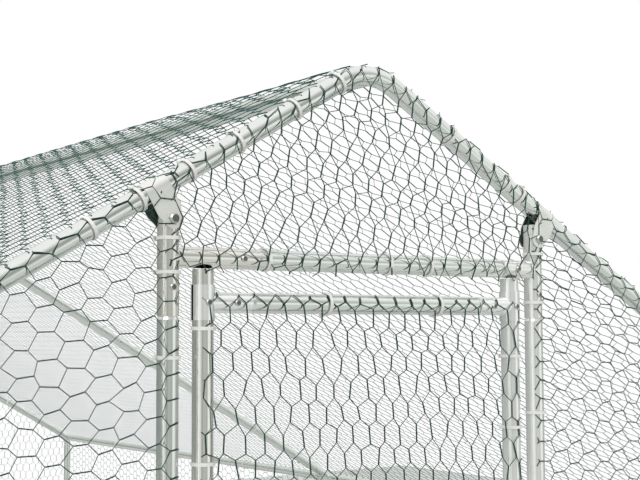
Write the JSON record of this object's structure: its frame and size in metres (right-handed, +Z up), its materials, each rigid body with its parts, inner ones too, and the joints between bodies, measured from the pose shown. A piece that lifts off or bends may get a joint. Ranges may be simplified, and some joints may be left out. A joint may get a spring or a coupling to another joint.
{
  "type": "chicken run",
  "caption": "Walk-in run of plugged galvanised tube with a pitched roof, hexagonal wire netting tied on, and a hinged door with a slide latch",
  "frame": {"origin": "middle of the run on the ground, under the ridge and in the plane of the middle hoop", "axes": "+X to the right seen from the door end, +Y from the door end to the back, +Z up"},
  "size_m": [2.733, 3.9497, 1.9792],
  "materials": {
    "galvanised": "galvanised, satin with long streaks",
    "bracket_sheet": "pale zinc-plated sheet",
    "zinc_fastener": "zinc plated",
    "netting": "dark green coated wire",
    "cable_tie": "white nylon",
    "cap_plastic": "black"
  },
  "bodies": {
    "frame": {"front_roof_bend": "galvanised", "middle_roof_bend": "galvanised", "back_roof_bend": "galvanised", "front_left_rafter": "galvanised", "front_right_rafter": "galvanised", "middle_rafters": "galvanised", "back_rafters": "galvanised", "front_left_leg": "galvanised", "front_right_leg": "galvanised", "middle_left_leg": "galvanised", "middle_right_leg": "galvanised", "back_left_leg": "galvanised", "back_right_leg": "galvanised", "ridge_tubes": "galvanised", "left_eave_rails": "galvanised", "right_eave_rails": "galvanised", "side_base_rails": "galvanised", "front_base_rails": "galvanised", "door_sill": "galvanised", "back_base_rails": "galvanised", "left_post_lower": "galvanised", "right_post_lower": "galvanised", "left_post_upper": "galvanised", "right_post_upper": "galvanised", "lintel": "galvanised", "back_left_post": "galvanised", "back_right_post": "galvanised", "left_post_bracket": "bracket_sheet", "right_post_bracket": "bracket_sheet", "back_post_brackets": "bracket_sheet", "bracket_bolts": "zinc_fastener", "bracket_nuts": "zinc_fastener", "front_screws": "zinc_fastener", "frame_screws": "zinc_fastener", "foot_caps": "cap_plastic", "post_hinge_leaves": "galvanised", "hinge_pins": "zinc_fastener", "latch_keeper": "galvanised", "front_left_net": "netting", "front_right_net": "netting", "gable_net": "netting", "left_wall_net": "netting", "right_wall_net": "netting", "back_net": "netting", "left_roof_net": "netting", "right_roof_net": "netting", "frame_ties": "cable_tie"},
    "door": {"door_left_upright": "galvanised", "door_right_upright": "galvanised", "door_top_bar": "galvanised", "door_middle_bar": "galvanised", "door_bottom_bar": "galvanised", "door_tees": "galvanised", "door_screws": "zinc_fastener", "door_hinge_leaves": "galvanised", "latch_guide": "galvanised", "door_net": "netting", "door_ties": "cable_tie"},
    "latch": {"latch_bolt": "galvanised"}
  },
  "joints": [
    {"name": "door_hinge", "type": "hinge", "parent": "frame", "child": "door", "pos_m": [-0.268, -1.95, 0.33], "axis": [0, 0, -1], "range_deg": [0, 90]},
    {"name": "latch_slide", "type": "slide", "parent": "door", "child": "latch", "axis": [1, 0, 0], "range_m": [0, 0.03]}
  ]
}
